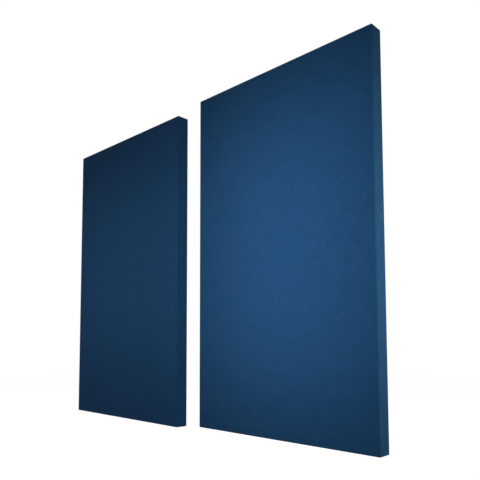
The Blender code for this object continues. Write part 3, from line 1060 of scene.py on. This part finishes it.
rubber = black_rubber()
print("dust patches in mm:", RUBBER_DUST / MM)

# %% [markdown]
# The bumpers are feet that keep the panel's lower end as far from the wall as the clips keep its
# top. A moulded foot tapers, so that it leaves its mould, has a rounded rim and a small dimple
# where the rubber was let in. A turned profile would give this too. A cylinder with one face
# scaled, bevelled and inset needs fewer steps and can be followed on the screen.

# %% Bumpers
FOOT_TAPER = 0.765
FOOT_ROUND = 1.4 * MM
DIMPLE_INSET = 2.6 * MM
DIMPLE_SLOPE = 0.5 * MM
DIMPLE_DEPTH = 0.35 * MM


def bumper_master(radius, height):
    """A foot on the Y axis, from its seat at 0 to its top."""
    foot = add_round("bumper", radius, 0, height, 48)
    with editing(foot):
        pick(foot, lambda face: face.normal.y > 0.9)
        bpy.ops.transform.resize(value=(FOOT_TAPER, 1, FOOT_TAPER))
        pick(foot, lambda edge: all(v.co.y > height - TOUCH for v in edge.verts), "edges")
        bpy.ops.mesh.bevel(offset=FOOT_ROUND, segments=5, affect="EDGES")
        pick(foot, lambda face: face.normal.y > 0.9 and face.calc_area() > (2 * MM) ** 2)
        bpy.ops.mesh.inset(thickness=DIMPLE_INSET)
        bpy.ops.mesh.inset(thickness=DIMPLE_SLOPE, depth=-DIMPLE_DEPTH)
    smooth(foot, 40)
    return foot


def make_bumpers(panel):
    names = [f"{panel}_{hand}_bumper" for hand in HANDS]
    copies = []
    for name in names:
        low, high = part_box(name)
        copies.append(copy_to(foot, ((low.x + high.x) / 2, low.y, (low.z + high.z) / 2)))
    dress(join(f"{panel}_bumpers", copies), panel, "black_rubber", rubber, *names)


low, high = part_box("left_panel_left_bumper")
foot = bumper_master((high.x - low.x) / 2, high.y - low.y)
for panel in PANELS:
    make_bumpers(panel)
bpy.data.objects.remove(foot)

# %% [markdown]
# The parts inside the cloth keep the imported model's shapes, which are right already, and get
# their real finishes. The frame is planed pine. A wave texture would draw its rings as even
# stripes. Noise that is stretched a hundredfold along the trunk and folded into lines wavers as
# timber does. The grain runs along a member, so rails and stiles each need a material.

# %% Planed pine
RING = 3.2 * MM
RING_STRETCH = 110
RING_FOLD = 0.06


def planed_pine(name, along):
    """Pale softwood with yellow-brown rings that run along one axis."""
    material, shader = new_material(name, IOR=1.5)
    where = add_node(material, "TexCoord").outputs["Object"]
    size = [RING] * 3
    size[along] = RING_STRETCH * RING
    rings = streaks(material, where, size, Scale=0.5, Detail=3.0, Distortion=0.6)
    lines = add_node(material, "Math", {"operation": "PINGPONG", "#1": RING_FOLD}, _0=rings)
    sharp = add_node(material, "MapRange", {"From Max": RING_FOLD}, Value=lines)
    set_surface(material, shader, sharp, ("E6C795", "C9995C"), sharp, (0.5, 0.68),
                sharp, (0.25, 0.1 * MM))
    return material


rail_pine = planed_pine("planed_pine_rails", 0)
stile_pine = planed_pine("planed_pine_stiles", 2)
print("rings in mm:", RING / MM)

# %% [markdown]
# Gussets and brace are thin birch plywood. What tells it from solid wood are its cut edges, where
# the plies lie as layers. So the layers are drawn through the thickness, and mixed with a fine,
# pale face grain. A texture on the faces alone would leave the edges blank.

# %% Birch plywood
PLY = 1.5 * MM
PLY_FIBRE = (40 * MM, 1.1 * MM, 1.1 * MM)


def birch_plywood():
    """Fine pale face grain, and plies that show as layers at the cut edges."""
    material, shader = new_material("birch_plywood", IOR=1.5)
    where = add_node(material, "TexCoord").outputs["Object"]
    apart = add_node(material, "SeparateXYZ", Vector=where)
    plies = add_node(material, "Math", {"operation": "PINGPONG", "#1": PLY}, _0=apart.outputs[1])
    layer = add_node(material, "MapRange", {"From Max": PLY}, Value=plies)
    fibres = streaks(material, where, PLY_FIBRE, Detail=4.0)
    both = add_node(material, "Math", {"operation": "MULTIPLY"}, _0=layer, _1=fibres)
    set_surface(material, shader, both, ("E2C79A", "A97C49"), fibres, (0.45, 0.65),
                fibres, (0.2, 0.05 * MM))
    return material


plywood = birch_plywood()
print("plies in mm:", PLY / MM)

# %% [markdown]
# The board is mineral wool: rock fibres a few thousandths of a millimetre thick, pressed into
# felt. Hair could draw fibres, at far too high a cost for a part that the cloth covers. What the
# eye sees are tufts, so noise drawn out into tufts gives colour and relief.

# %% Mineral wool
WOOL_TUFT = (11 * MM, 1.4 * MM, 3.8 * MM)


def mineral_wool():
    """Pressed rock fibres, brown-yellow and matt, with a felted surface."""
    material, shader = new_material("mineral_wool", Roughness=0.95, IOR=1.45)
    where = add_node(material, "TexCoord").outputs["Object"]
    fibres = streaks(material, where, WOOL_TUFT, Detail=6.0, Distortion=1.2)
    set_surface(material, shader, fibres, ("8D7A49", "C6B27C"),
                relief=fibres, bump=(0.7, 0.5 * MM))
    return material


wool = mineral_wool()
print("wool tufts in mm:", [round(length / MM, 1) for length in WOOL_TUFT])

# %% [markdown]
# The Z-clips are extruded aluminium, left as it comes from the mill: pale, not polished, with fine
# die lines along the strip. Anisotropic gloss could stand for the lines, but it doesn't show them
# one by one. They are what separates it from plastic painted grey, so they are in the roughness
# and the bump. They run along X, the way the profile was pushed.

# %% Mill-finish aluminium
# Real die lines are finer. They are drawn wide enough to show from the back of the panels.
DIE_LINE = (170 * MM, 0.35 * MM, 0.35 * MM)
MILL_HAZE = 14 * MM


def mill_aluminium():
    """Pale grey metal with lines along X and a soft haze."""
    material, shader = new_material("mill_finish_aluminium", Metallic=1.0)
    where = add_node(material, "TexCoord").outputs["Object"]
    lines = streaks(material, where, DIE_LINE, Detail=3.0)
    haze = add_node(material, "TexNoise", {"Scale": 1 / MILL_HAZE, "Detail": 3.0}, Vector=where)
    both = add_node(material, "Math", {"operation": "ADD"}, _0=lines, _1=haze)
    set_surface(material, shader, haze, ("989B9F", "B2B4B7"), both, (0.20, 0.52),
                lines, (0.3, 0.02 * MM), rough_top=2.0)
    return material


aluminium = mill_aluminium()
print("die lines in mm:", DIE_LINE[1] / MM)

# %% [markdown]
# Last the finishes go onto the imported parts. They could be set one by one, but there are 48, and
# their names already say what they are. A part takes the finish of the last word in its name that
# has one, so a clip's screw gets zinc and not aluminium.

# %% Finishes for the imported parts
FINISHES = {"rail": rail_pine, "stile": stile_pine, "gusset": plywood, "brace": plywood,
            "screw": zinc, "board": wool, "clip": aluminium, "bumper": rubber,
            "fabric_cover": blue_cloth, "back_cloth": black_scrim}


def finish_of(name):
    """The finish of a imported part, by the last word of its name that has one."""
    return FINISHES[max((word for word in FINISHES if word in name), key=name.rfind)]


for name, part in nodes.items():
    material = finish_of(name)
    for slot in part.material_slots:
        slot.material = material
print("parts finished:", len(nodes))

# %% [markdown]
# At the end come the two boxes, of the imported model and of the dressed one. Cloth may stand a
# little proud of the solids, but the panels' size is the imported model's, so both are printed.

# %% Sizes and finish
sizes = {"cad": [list(corner) for corner in cad_bounds],
         "visual": [list(corner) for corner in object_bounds()]}
for name, box in sizes.items():
    print(name, "box in mm:", [[round(value / MM, 1) for value in corner] for corner in box])
